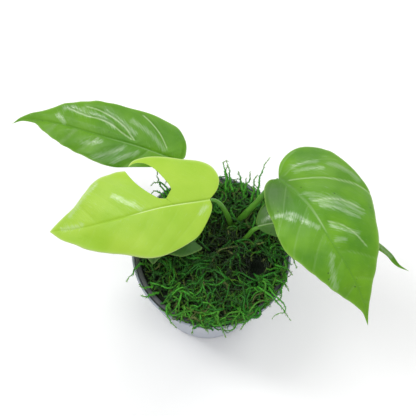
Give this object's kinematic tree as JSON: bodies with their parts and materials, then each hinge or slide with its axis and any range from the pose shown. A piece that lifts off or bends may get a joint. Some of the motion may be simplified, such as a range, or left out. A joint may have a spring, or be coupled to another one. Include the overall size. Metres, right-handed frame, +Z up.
{
  "type": "potted mini monstera",
  "caption": "Young monstera-like aroid with long glossy leaves on arching petioles, standing in a tapered pot whose soil is covered with tangled green moss.",
  "frame": {"origin": "centre of the outer pot's underside", "axes": "+Z up along the pot's axis, the pot's front faces -Y, the lime leaf points to -X and the large right leaf to +X"},
  "size_m": [0.3085, 0.1609, 0.1806],
  "materials": {
    "outer_pot": "pale blue-grey moulded plastic, satin",
    "inner_pot": "charcoal moulded plastic, matte",
    "potting_soil": "dark crumbly potting soil",
    "moss": "tangled green sheet moss",
    "petiole": "smooth green petiole skin",
    "leaf_green": "glossy green leaf with a pale midrib",
    "leaf_lime": "thin young leaf, satin yellow-green"
  },
  "bodies": {
    "root": {"outer_pot": "outer_pot", "inner_pot": "inner_pot", "potting_soil": "potting_soil", "moss": "moss", "stem_with_petioles": "petiole", "leaf_upper_left": "leaf_green", "leaf_lime": "leaf_lime", "leaf_right": "leaf_green", "leaf_lower_right": "leaf_green", "leaf_lower_left": "leaf_green"}
  },
  "joints": []
}
